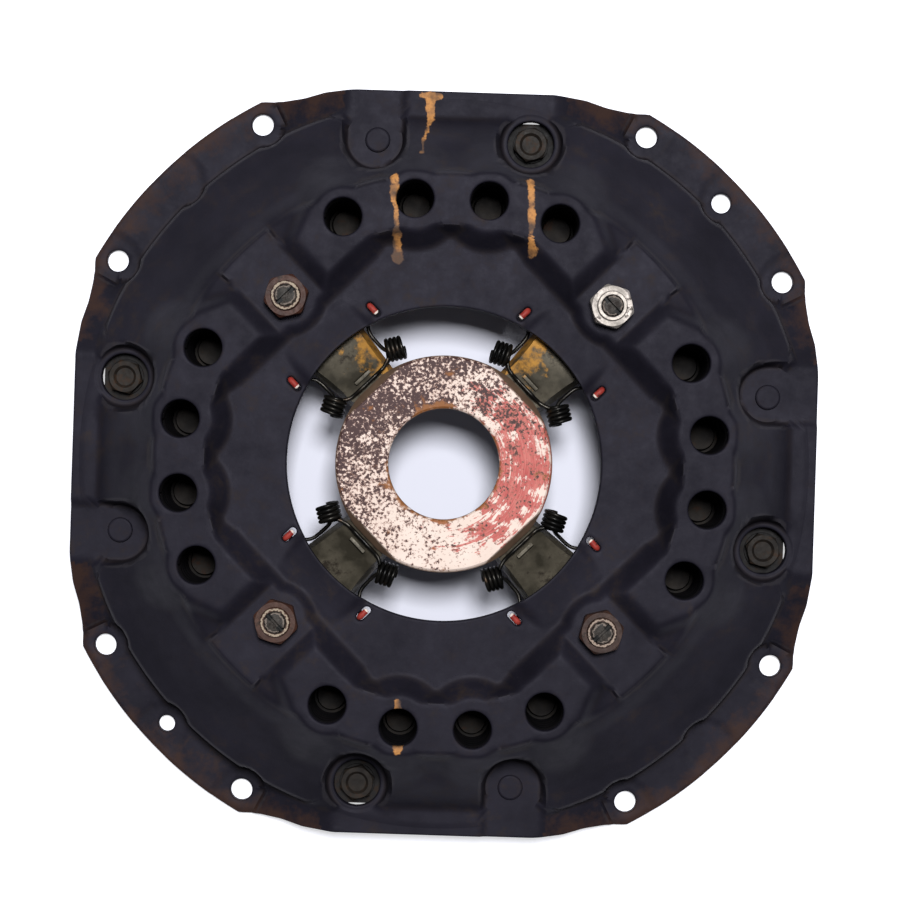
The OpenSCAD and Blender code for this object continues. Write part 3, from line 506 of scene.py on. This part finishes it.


# The sixteen thrust springs: coils of round 4 mm wire with two closed ends, standing on the plate
# under the holes of the cover.
def tube(path, radius, sides, beside):
    """A round wire along the path in mm: at each point a circle across the path, begun at right
    angles to the direction beside, with a flat face on each end. The radius and that direction are
    one for all or one per point. Returns the points in metres and the faces."""
    path = np.asarray(path, float)
    heading = np.gradient(path, axis=0)
    across = np.cross(heading, beside)
    over = np.cross(heading, across)
    across /= np.linalg.norm(across, axis=1)[:, None]
    over /= np.linalg.norm(over, axis=1)[:, None]
    turn = np.linspace(0, 2 * math.pi, sides, endpoint=False)[:, None]
    radius = np.broadcast_to(radius, len(path))[:, None, None]
    rings = path[:, None] + radius * (np.cos(turn) * across[:, None] + np.sin(turn) * over[:, None])
    n, c = len(path), np.arange(sides)
    a = (np.arange(n - 1)[:, None] * sides + c).ravel()
    b = (np.arange(n - 1)[:, None] * sides + (c + 1) % sides).ravel()
    faces = np.stack([a, b, b + sides, a + sides], 1).tolist()
    return rings.reshape(-1, 3) * mm, faces + [c[::-1].tolist(), ((n - 1) * sides + c).tolist()]


coil_r, coil_wire_r, coil_turns, coil_seat, coil_ceiling = 10.5, 2.0, 5.5, 22.5, 60.0


def coil_height(f, end_rise=2.2):
    """Height of the wire's centre at the fraction f of a spring: its end turns rise by end_rise only."""
    end = 0.75 / coil_turns
    levels = (coil_seat, coil_seat + end_rise, coil_ceiling - end_rise, coil_ceiling)
    return np.interp(f, (0, end, 1 - end, 1), levels)


# Near black: black spring steel, darkened further as painted shade inside the cover's holes.
spring_steel = worn("spring_steel", (0.002, 0.002, 0.0025), (0.0035, 0.003, 0.0035),
                    (0.006, 0.004, 0.003), 0.1, rough=0.7, shine=0.04)
f = np.linspace(0, 1, 150)
for i in range(16):
    a = math.radians(90 * (i // 4) + spring_degrees[i % 4])
    t = 2 * math.pi * coil_turns * f
    path = np.stack([spring_circle * math.cos(a) + coil_r * np.cos(t),
                     spring_circle * math.sin(a) + coil_r * np.sin(t), coil_height(f)], 1)
    coil_mesh = bpy.data.meshes.new("coil")
    wire_points, wire_faces = tube(path, coil_wire_r, 10, (0, 0, 1))
    coil_mesh.from_pydata(wire_points.tolist(), [], wire_faces)
    coil_mesh.shade_smooth()
    coil_mesh.set_sharp_from_angle(angle=math.radians(50))
    coil_mesh.materials.append(spring_steel)
    coil = bpy.data.objects.new(f"thrust_coil_{i + 1:02d}", coil_mesh)
    bpy.context.collection.objects.link(coil)
    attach(coil, "cover_group")
    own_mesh(coil)
    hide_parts(f"thrust_spring_{i + 1:02d}")


# The drive straps, with the rivets, bolts and washers at their ends: copies of the CAD meshes with
# their flat faces joined up again, and the sharp edges of all but the straps bevelled. The rivets are
# painted with the cover, the straps are dark spring steel, and the bolts are almost black with oil and rust.
def bevelled(node, name, width, angle=30, segments=2):
    """A copy of a CAD node's mesh, merged, with coplanar triangles dissolved and its edges bevelled."""
    work = bmesh.new()
    work.from_mesh(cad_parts[node].data)
    bmesh.ops.remove_doubles(work, verts=work.verts, dist=0.00001)
    bmesh.ops.dissolve_limit(work, angle_limit=math.radians(0.5), verts=work.verts, edges=work.edges)
    mesh = bpy.data.meshes.new(name)
    work.to_mesh(mesh)
    work.free()
    mesh.materials.clear()
    mesh.shade_smooth()
    mesh.set_sharp_from_angle(angle=math.radians(angle))
    piece = bpy.data.objects.new(name, mesh)
    bpy.context.collection.objects.link(piece)
    if width:
        bevel = piece.modifiers.new("bevel", "BEVEL")
        bevel.width = width * mm
        bevel.segments = segments
        bevel.limit_method = "ANGLE"
        bevel.angle_limit = math.radians(angle)
        bevel.harden_normals = False
    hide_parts(node)
    return piece


strap_steel = worn("strap_steel", (0.006, 0.0055, 0.006), (0.011, 0.01, 0.01), (0.02, 0.012, 0.008), 0.3,
                   rough=0.55, shine=0.1)
bolt_steel = worn("bolt_steel", (0.01, 0.008, 0.007), (0.018, 0.014, 0.011), (0.03, 0.017, 0.011), 0.3,
                  rough=0.55, scale=500.0, shine=0.12)
washer_steel = worn("washer_steel", (0.005, 0.0045, 0.005), (0.009, 0.008, 0.008), (0.02, 0.012, 0.008), 0.2,
                    rough=0.55, shine=0.1)
for k in range(4):
    straps = bevelled(f"drive_straps_{k + 1}", f"strap_pack_{k + 1}", 0)
    straps.data.materials.append(strap_steel)
    a = math.radians(90 * k)
    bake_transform(straps)
rivets = bevelled("strap_rivets", "rivets", 0.4)
rivets.data.materials.append(paint)
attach(rivets, "cover_group")
bolts = bevelled("strap_bolts", "hex_bolts", 0.35)
bolts.data.materials.append(bolt_steel)
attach(bolts, "plate_group")
washers = bevelled("strap_washers", "bolt_washers", 0.2)
washers.data.materials.append(washer_steel)
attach(washers, "plate_group")


# The adjusting nuts and the eyebolts they hold, from the CAD meshes, with small bevels. Each nut has
# its own colour: one is bright zinc, the others are rusty. The staked collar and the bolt's end each
# get a paler ring, and the open ends of the bolt's slot are painted shade, near black.
def between(tree, value, low, high, start=0.0, end=1.0):
    """From start to end while the value goes from low to high, and level outside."""
    return make_node(tree, "ShaderNodeMapRange", Value=value, From_Min=low, From_Max=high,
                     To_Min=start, To_Max=end).outputs[0]


def root_of_squares(tree, a, b):
    """The length of the hypotenuse over a and b."""
    return math_node(tree, "SQRT", plus(tree, times(tree, a, a), times(tree, b, b)))


def pale_ring_and_slot_shade(material, angle, inner, outer, bare):
    """Gives the worn material a paler ring round the nut's axis, between two radii in mm, in the colour
    bare, and paints shade, near black, into the open ends of the bolt's slot, which runs across the
    nut's radial direction."""
    slot_half, slot_start, slot_end, soft_edge = 1.35, 2.3, 5.3, 0.3
    tree = material.node_tree
    shader = tree.nodes["Principled BSDF"]
    coords = tree.nodes.new("ShaderNodeTexCoord").outputs["Object"]
    local = make_node(tree, "ShaderNodeMapping", Vector=coords, Rotation=(0, 0, -angle),
                      Location=(-fulcrum_r * mm, 0, 0))
    apart = make_node(tree, "ShaderNodeSeparateXYZ", Vector=local.outputs[0])
    across, along = (math_node(tree, "ABSOLUTE", apart.outputs[i]) for i in range(2))
    r = root_of_squares(tree, across, along)
    fine = noise(tree, coords, 700.0, 6.0)
    uneven = plus(tree, r, times(tree, math_node(tree, "SUBTRACT", fine, 0.5), 0.003))
    rise = between(tree, uneven, (inner - soft_edge) * mm, inner * mm)
    fall = between(tree, uneven, outer * mm, (outer + soft_edge) * mm, 1.0, 0.0)
    before = shader.inputs["Base Color"].links[0].from_socket
    # The ring between inner and outer takes the colour bare: a paler ring.
    colour = mix_colour(tree, times(tree, rise, fall), before, bare)
    # The open ends of the slot: painted shade, near black.
    slot_shade = times(tree, math_node(tree, "LESS_THAN", across, slot_half * mm),
                  math_node(tree, "GREATER_THAN", along, slot_start * mm))
    slot_shade = times(tree, slot_shade, math_node(tree, "LESS_THAN", r, slot_end * mm))
    tree.links.new(mix_colour(tree, slot_shade, colour, (0.003, 0.003, 0.003)), shader.inputs["Base Color"])


# Each nut's two tones, the colour and share of its spots, the colour of its paler ring, and how metallic it
# is.
nut_looks = [((0.22, 0.2, 0.18), (0.42, 0.38, 0.35), (0.03, 0.022, 0.018), 0.3, (0.4, 0.36, 0.32), 0.35),
             ((0.032, 0.011, 0.007), (0.062, 0.023, 0.014), (0.02, 0.011, 0.008), 0.3, (0.3, 0.24, 0.175), 0),
             ((0.036, 0.014, 0.009), (0.066, 0.028, 0.018), (0.025, 0.013, 0.009), 0.3, (0.3, 0.24, 0.175), 0),
             ((0.024, 0.011, 0.008), (0.056, 0.027, 0.019), (0.018, 0.011, 0.008), 0.35, (0.3, 0.23, 0.18), 0)]
for k in range(4):
    low, high, spot, share, ring_tone, metal = nut_looks[k]
    angle = math.radians(45 + 90 * k)
    nut = bevelled(f"adjusting_nut_{k + 1}", f"hex_nut_{k + 1}", 0.35)
    finish = worn(f"nut_finish_{k + 1}", low, high, spot, share, metal=metal, rough=0.5, scale=500.0)
    pale_ring_and_slot_shade(finish, angle, 6.1, 6.6, ring_tone)
    nut.data.materials.append(finish)
    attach(nut, "cover_group")
    eyebolt = bevelled(f"eyebolt_{k + 1}", f"eye_bolt_{k + 1}", 0.3)
    finish = worn(f"eyebolt_finish_{k + 1}", (0.014, 0.012, 0.01), (0.04, 0.034, 0.029),
                  (0.012, 0.008, 0.006), 0.35, rough=0.5, scale=700.0, shine=0.15)
    pale_ring_and_slot_shade(finish, angle, 4.3, 4.6, (0.16, 0.13, 0.11))
    eyebolt.data.materials.append(finish)
    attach(eyebolt, "cover_group")


# The release levers: forgings, from the CAD meshes with round edges. Dull olive-brown steel in two
# tones mixed at random; two of them carry orange rust on one flank.
flank_share = 16
for k in range(4):
    lever = bevelled(f"release_lever_{k + 1}", f"forged_lever_{k + 1}", 0.9, segments=3)
    finish = worn(f"lever_finish_{k + 1}", (0.03, 0.026, 0.018), (0.085, 0.074, 0.054),
                  (0.022, 0.017, 0.012), 0.3, metal=0.35, rough=0.4)
    a = math.radians(45 + 90 * k)
    orange_side = (1, -1, 0, 0)[k]
    if orange_side:
        tree = finish.node_tree
        shader = tree.nodes["Principled BSDF"]
        coords = tree.nodes.new("ShaderNodeTexCoord").outputs["Object"]
        apart = make_node(tree, "ShaderNodeSeparateXYZ", Vector=coords)
        across = plus(tree, times(tree, apart.outputs[0], -orange_side * math.sin(a) * flank_share),
                      times(tree, apart.outputs[1], orange_side * math.cos(a) * flank_share))
        patch = noise(tree, coords, 110.0, 7.0, 0.65)
        where = ramp_node(tree, plus(tree, patch, across), (0.56, 0.0), (0.68, 0.95))
        before = shader.inputs["Base Color"].links[0].from_socket
        orange = mix_colour(tree, patch, (0.13, 0.045, 0.006), (0.5, 0.26, 0.05))
        tree.links.new(mix_colour(tree, where, before, orange), shader.inputs["Base Color"])
    lever.data.materials.append(finish)
    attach(lever, f"lever_{k + 1}")


# The release plate: a machined ring with four flats, from the CAD mesh. Its face is pale with dense
# purple-brown specks of corrosion, and red paint brushed on in arcs over the right half.
release = bevelled("release_plate", "release_ring", 0.5)
face = bpy.data.materials.new("release_face")
face.use_nodes = True
tree = face.node_tree
coords = tree.nodes.new("ShaderNodeTexCoord").outputs["Object"]
apart = make_node(tree, "ShaderNodeSeparateXYZ", Vector=coords)
x, y, z = (apart.outputs[i] for i in range(3))
radius = root_of_squares(tree, x, y)
fine = noise(tree, coords, 620.0, 8.0, 0.72)
broad = noise(tree, coords, 45.0, 4.0)
patch = noise(tree, coords, 130.0, 6.0, 0.6)
swirl = make_node(tree, "ShaderNodeCombineXYZ", X=times(tree, radius, 900.0),
                  Y=times(tree, math_node(tree, "ARCTAN2", y, x), 3.0))
strokes = noise(tree, swirl.outputs[0], 1.0, 5.0, 0.6)

colour = mix_colour(tree, broad, (0.8, 0.7, 0.63), (0.6, 0.45, 0.38))
red_dark, red_pale = (0.38, 0.04, 0.04), (0.5, 0.13, 0.11)
rim_side = between(tree, radius, 0.04, 0.054, 0.0, -0.16)
red = plus(tree, times(tree, strokes, 0.45), times(tree, patch, 0.6))
red = plus(tree, red, plus(tree, times(tree, x, 4.2), rim_side))
brushed = mix_colour(tree, ramp_node(tree, strokes, (0.4, 0.0), (0.6, 1.0)), red_dark, red_pale)
colour = mix_colour(tree, ramp_node(tree, red, (0.585, 0.0), (0.615, 0.95)), colour, brushed)
speck_edge, speck_heart = (0.36, 0.17, 0.12), (0.055, 0.028, 0.028)
left = plus(tree, times(tree, x, -1.0), times(tree, y, 1.1))
specks = plus(tree, times(tree, fine, 0.75), plus(tree, times(tree, patch, 0.35), left))
colour = mix_colour(tree, ramp_node(tree, specks, (0.545, 0.0), (0.56, 0.7)), colour, speck_edge)
colour = mix_colour(tree, ramp_node(tree, specks, (0.56, 0.0), (0.59, 1.0)), colour, speck_heart)
bore_edge = between(tree, radius, 0.0275, 0.031, 0.14, 0.0)
rust = plus(tree, times(tree, patch, 0.9), plus(tree, times(tree, broad, 0.3), bore_edge))
colour = mix_colour(tree, ramp_node(tree, rust, (0.71, 0.0), (0.78, 0.85)), colour, (0.26, 0.1, 0.03))
flank = mix_colour(tree, patch, (0.05, 0.03, 0.02), (0.14, 0.09, 0.06))
colour = mix_colour(tree, between(tree, z, 0.0618, 0.0627), flank, colour)
shader = tree.nodes["Principled BSDF"]
tree.links.new(colour, shader.inputs["Base Color"])
shader.inputs["Roughness"].default_value = 0.5
shader.inputs["Specular IOR Level"].default_value = 0.12
bump = make_node(tree, "ShaderNodeBump", Height=specks, Strength=0.3, Distance=0.0003)
tree.links.new(bump.outputs[0], shader.inputs["Normal"])
release.data.materials.append(face)
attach(release, "release_group")


# The four retaining springs: one 2 mm wire each, from its end in a slot of the cover along the foot
# of the lever to a coil, across the lever's nose as a bar that clears its tab, and the same way back.
# Dark spring steel; the ends that lie in the slots are dipped in thick red paint, with a pale painted
# highlight at each inner tip.
def smooth_path(corners, step=0.8):
    """A Catmull-Rom curve through the corners, with points about step mm apart."""
    c = np.asarray(corners, float)
    c = np.vstack([2 * c[0] - c[1], c, 2 * c[-1] - c[-2]])
    out = []
    for i in range(1, len(c) - 2):
        n = max(2, int(np.linalg.norm(c[i + 1] - c[i]) / step))
        t = np.arange(n)[:, None] / n
        before, at, then, after = c[i - 1], c[i], c[i + 1], c[i + 2]
        out.append(0.5 * (2 * at + (then - before) * t + (2 * before - 5 * at + 4 * then - after) * t ** 2
                          + (3 * at - before - 3 * then + after) * t ** 3))
    return np.vstack(out + [c[-2:-1]])


clip_steel = worn("clip_steel", (0.008, 0.008, 0.008), (0.024, 0.022, 0.019), (0.05, 0.03, 0.018), 0.15,
                  metal=0.8, rough=0.3)
red_tip = worn("red_tip", (0.2, 0.018, 0.014), (0.32, 0.04, 0.03), (0.05, 0.02, 0.015), 0.2,
               rough=0.5, scale=800.0)
tip_highlight = worn("tip_highlight", (0.6, 0.5, 0.45), (0.75, 0.68, 0.6), (0.4, 0.1, 0.08), 0.1, scale=800.0)
clip_coil_r, clip_coil_length, clip_turns, clip_steps = 5.1, 9.1, 13 / 3, 150
clip_axis = np.array([-0.5, math.sqrt(3) / 2, 0])
clip_outward = np.array([math.sqrt(3) / 2, 0.5, 0])
for k in range(4):
    turn = math.radians(45 + 90 * k)
    halves = []
    for side in (1, -1):
        mid = np.array([57.6, 20.5 - 0.5 * side, 55.6])
        i = np.arange(clip_steps + 1)[:, None] / clip_steps
        a = math.radians(270) - 2 * math.pi * clip_turns * i
        coil = mid + clip_axis * clip_coil_length * (0.5 - i)
        coil = coil + clip_coil_r * (np.cos(a) * clip_outward + np.sin(a) * np.array([0, 0, 1]))
        leg = smooth_path([(76.4, 26.6, 54.6), (80.6, 26.6, 54.6), (81.9, 26.6, 53.6), (82, 26.6, 51.5),
                           (80.8, 25.8, 47.8), (78, 21.8, 45.6), (73, 17.7, 44.6), (66, 16.9, 45),
                           (61, 17.3, 46.2), (57.5, 19.9, 47.4), tuple(coil[0])])
        bar = smooth_path([tuple(coil[-1]), (54.8, 11.4, 57.8), (54.5, 8.6, 58), (54.4, 5.4, 59.4),
                           (54.4, 0.4, 59.4)])
        half = np.vstack([leg[:-1], coil[:-1], bar])
        halves.append(half * (1, side, 1))
    path = np.vstack([halves[0], halves[1][::-1]])
    beside = np.repeat([clip_axis, clip_axis * (1, -1, 1)], [len(halves[0]), len(halves[1])], 0)
    in_slot = np.where(path[:, 2] > 52.6, np.minimum(path[:, 0] - 76.3, 82.4 - path[:, 0]), 0)
    wire_r = 1 + 0.55 * np.clip(in_slot / 0.9, 0, 1)
    c, s = math.cos(turn), math.sin(turn)
    turned = np.array([(c, s, 0), (-s, c, 0), (0, 0, 1)])
    wire_points, wire_faces = tube(path @ turned, wire_r, 10, beside @ turned)
    mesh = bpy.data.meshes.new("clip")
    mesh.from_pydata(wire_points.tolist(), [], wire_faces)
    mesh.shade_smooth()
    mesh.set_sharp_from_angle(angle=math.radians(60))
    for finish in (clip_steel, red_tip, tip_highlight):
        mesh.materials.append(finish)
    middles = np.array([wire_points[list(face)].mean(0) for face in wire_faces]) / mm
    reach = c * middles[:, 0] + s * middles[:, 1]
    in_slot = (reach > 75.5) & (middles[:, 2] > 50)
    # Faces at the inner end of the slot get the pale tip: a painted highlight.
    slots = np.where(in_slot, np.where(reach < 76.9, 2, 1), 0)
    mesh.polygons.foreach_set("material_index", slots.astype(np.int32))
    clip = bpy.data.objects.new(f"clip_wire_{k + 1}", mesh)
    bpy.context.collection.objects.link(clip)
    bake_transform(clip)
    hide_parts(f"retaining_spring_{k + 1}")


# The setting: a white floor under the flange, one light nearly overhead, dim surroundings, and a
# long-lens camera straight above, turned as photographed. The floor is lifted towards white for the
# camera, except inside the opening, where the shadows stay deep.
floor_colour = (0.6, 0.61, 0.7)
floor_glow, glow_start, glow_full = 0.6, 0.09, 0.13
floor_half, floor_gap = 4, 0.0002
camera_height = 1.205
sheet_level = 0.005
picture_size, picture_scale = 900, 0.5123 * mm
flange_pixel = (444.05, 463.35)
picture_turn = math.radians(1.85)

floor_mesh = bpy.data.meshes.new("floor")
corners = [(-floor_half, -floor_half, 0), (floor_half, -floor_half, 0), (floor_half, floor_half, 0),
           (-floor_half, floor_half, 0)]
floor_mesh.from_pydata(corners, [], [(0, 1, 2, 3)])
floor = bpy.data.objects.new("floor", floor_mesh)
floor.location.z = -floor_gap
bpy.context.collection.objects.link(floor)
floor_paint = bpy.data.materials.new("floor_paint")
floor_paint.use_nodes = True
floor_mesh.materials.append(floor_paint)
floor_tree = floor_paint.node_tree
floor_shader = floor_tree.nodes["Principled BSDF"]
floor_shader.inputs["Base Color"].default_value = (*floor_colour, 1)
floor_shader.inputs["Roughness"].default_value = 0.6
floor_shader.inputs["Emission Color"].default_value = (1, 1, 1, 1)
rays = floor_tree.nodes.new("ShaderNodeLightPath").outputs
seen = math_node(floor_tree, "MAXIMUM", rays["Is Camera Ray"],
                 math_node(floor_tree, "MAXIMUM", rays["Is Glossy Ray"], rays["Is Transmission Ray"]))
place = floor_tree.nodes.new("ShaderNodeTexCoord").outputs["Object"]
reach = make_node(floor_tree, "ShaderNodeVectorMath", Vector=place)
reach.operation = "LENGTH"
outside = between(floor_tree, reach.outputs["Value"], glow_start, glow_full, 0.0, floor_glow)
floor_tree.links.new(times(floor_tree, seen, outside), floor_shader.inputs["Emission Strength"])

camera = bpy.data.objects.new("camera", bpy.data.cameras.new("camera"))
bpy.context.collection.objects.link(camera)
span = picture_size * picture_scale
camera.data.angle = 2 * math.atan(span / 2 / (camera_height - sheet_level))
off_x = (picture_size / 2 - flange_pixel[0]) * picture_scale
off_y = (flange_pixel[1] - picture_size / 2) * picture_scale
c, s = math.cos(picture_turn), math.sin(picture_turn)
camera.location = (c * off_x - s * off_y, s * off_x + c * off_y, camera_height)
camera.rotation_euler = (0, 0, picture_turn)
bpy.context.scene.camera = camera

world = bpy.data.worlds.new("world")
world.use_nodes = True
world.node_tree.nodes["Background"].inputs["Color"].default_value = (0.85, 0.88, 1, 1)
world.node_tree.nodes["Background"].inputs["Strength"].default_value = 0.14
bpy.context.scene.world = world
softbox_place = Vector((0.13, 0.54, 2.44))
lamp = bpy.data.objects.new("softbox", bpy.data.lights.new("softbox", "AREA"))
lamp.data.size = 0.55
lamp.data.energy = 80
lamp.location = softbox_place
lamp.rotation_euler = softbox_place.to_track_quat("Z", "Y").to_euler()
bpy.context.collection.objects.link(lamp)
bpy.context.scene.view_settings.view_transform = "Standard"
